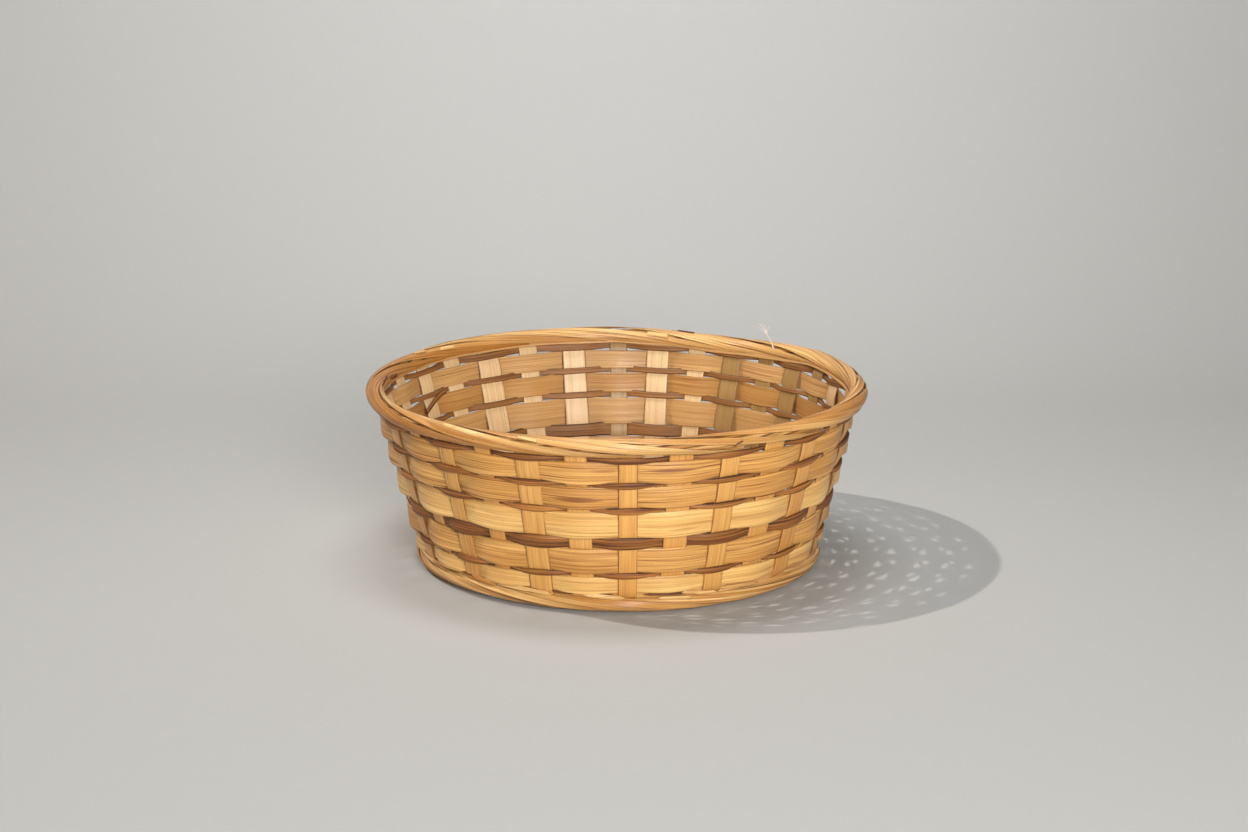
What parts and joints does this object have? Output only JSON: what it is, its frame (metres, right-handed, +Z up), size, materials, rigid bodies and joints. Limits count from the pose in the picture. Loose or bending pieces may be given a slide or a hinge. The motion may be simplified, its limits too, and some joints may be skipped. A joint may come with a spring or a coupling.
{
  "type": "woven basket",
  "caption": "Round open woven splint basket with flared wall, rolled rim, rolled foot and check-woven floor, for holding small things.",
  "frame": {"origin": "on the ground, under the centre of the foot roll", "axes": "+Z up, -Y towards the front stake, +X to the right seen from the front"},
  "size_m": [0.25, 0.25, 0.0908],
  "materials": {
    "rim_splints": "woven split bamboo, satin",
    "foot_splints": "woven split bamboo, satin",
    "stakes": "woven split bamboo, satin",
    "wide_weavers": "woven split bamboo, satin",
    "dark_weavers": "woven split bamboo, satin",
    "floor_mat": "woven split bamboo, satin"
  },
  "bodies": {
    "root": {"dark_weaver_1": "dark_weavers", "dark_weaver_2": "dark_weavers", "dark_weaver_3": "dark_weavers", "dark_weaver_4": "dark_weavers", "dark_weaver_5": "dark_weavers", "floor_splints_across": "floor_mat", "floor_splints_along": "floor_mat", "foot_roll": "foot_splints", "inner_stake_01": "stakes", "inner_stake_02": "stakes", "inner_stake_03": "stakes", "inner_stake_04": "stakes", "inner_stake_05": "stakes", "inner_stake_06": "stakes", "inner_stake_07": "stakes", "inner_stake_08": "stakes", "inner_stake_09": "stakes", "inner_stake_10": "stakes", "inner_stake_11": "stakes", "inner_stake_12": "stakes", "inner_stake_13": "stakes", "inner_stake_14": "stakes", "inner_stake_15": "stakes", "inner_stake_16": "stakes", "loose_tail": "dark_weavers", "outer_stake_01": "stakes", "outer_stake_02": "stakes", "outer_stake_03": "stakes", "outer_stake_04": "stakes", "outer_stake_05": "stakes", "outer_stake_06": "stakes", "outer_stake_07": "stakes", "outer_stake_08": "stakes", "outer_stake_09": "stakes", "outer_stake_10": "stakes", "outer_stake_11": "stakes", "outer_stake_12": "stakes", "outer_stake_13": "stakes", "outer_stake_14": "stakes", "outer_stake_15": "stakes", "outer_stake_16": "stakes", "rim_roll": "rim_splints", "wide_weaver_1": "wide_weavers", "wide_weaver_2": "wide_weavers", "wide_weaver_3": "wide_weavers", "wide_weaver_4": "wide_weavers", "wide_weaver_5": "wide_weavers"}
  },
  "joints": []
}
